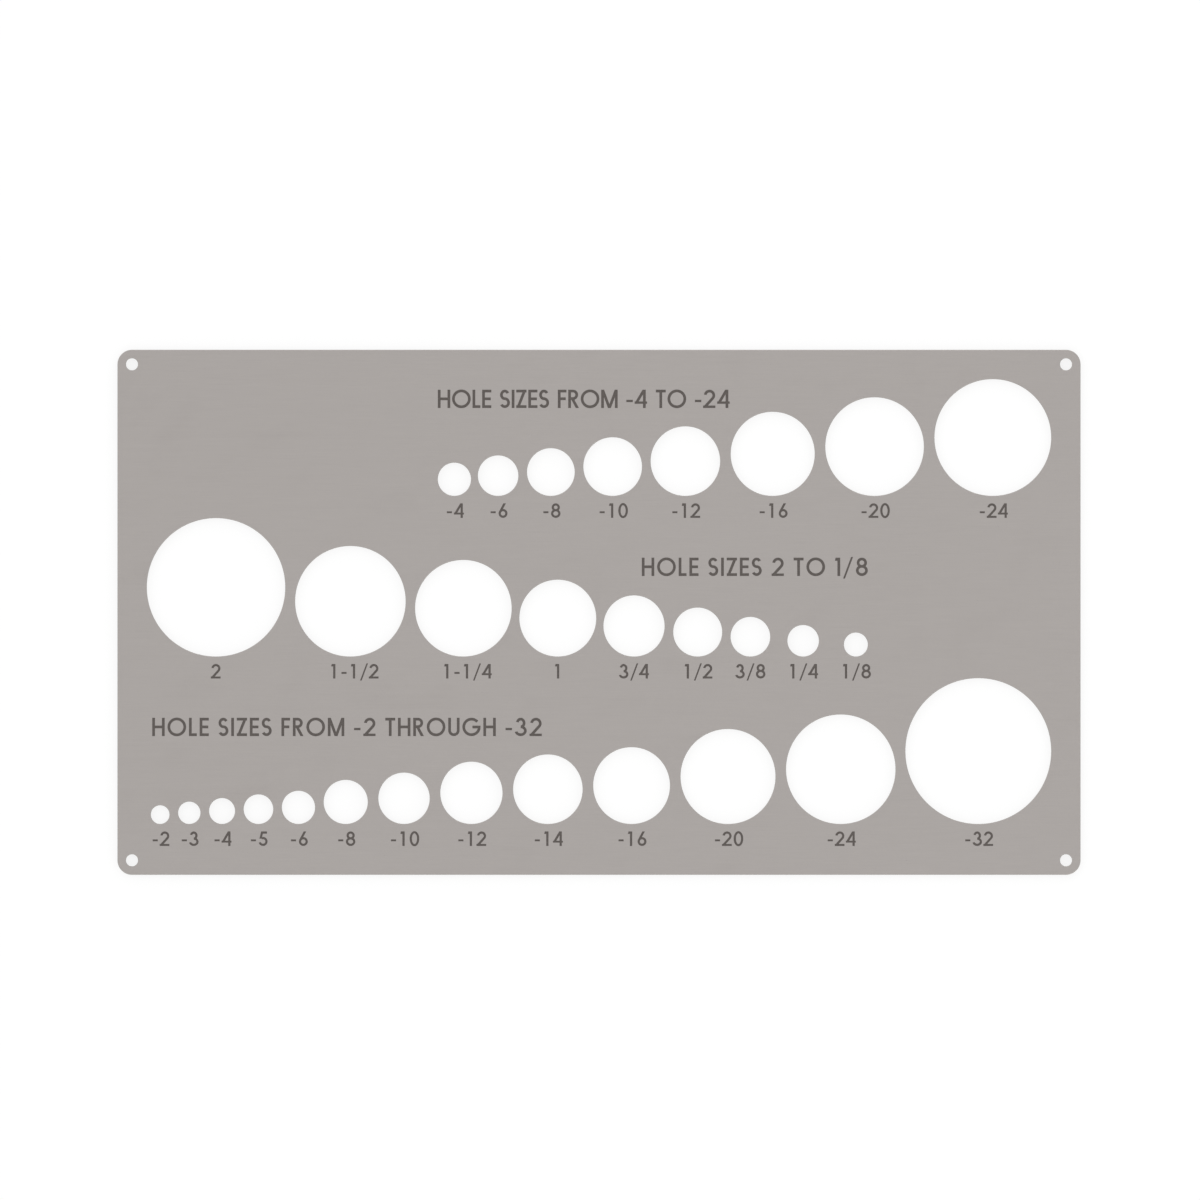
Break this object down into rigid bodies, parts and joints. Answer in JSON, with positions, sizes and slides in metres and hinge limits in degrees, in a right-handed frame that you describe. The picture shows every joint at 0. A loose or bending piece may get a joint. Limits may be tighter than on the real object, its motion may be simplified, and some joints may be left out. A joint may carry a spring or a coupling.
{
  "type": "hydraulic fitting gauge",
  "caption": "Flat steel gauge plate with rows of graded round holes for sizing hydraulic fitting threads, and a screw hole at each corner.",
  "frame": {"origin": "middle of the sheet's back face", "axes": "+X along the hole rows, +Y up the sheet, +Z out of the marked face"},
  "size_m": [0.421, 0.2296, 0.0032],
  "materials": {
    "plate": "satin"
  },
  "bodies": {
    "root": {"gauge_plate": "plate"}
  },
  "joints": []
}
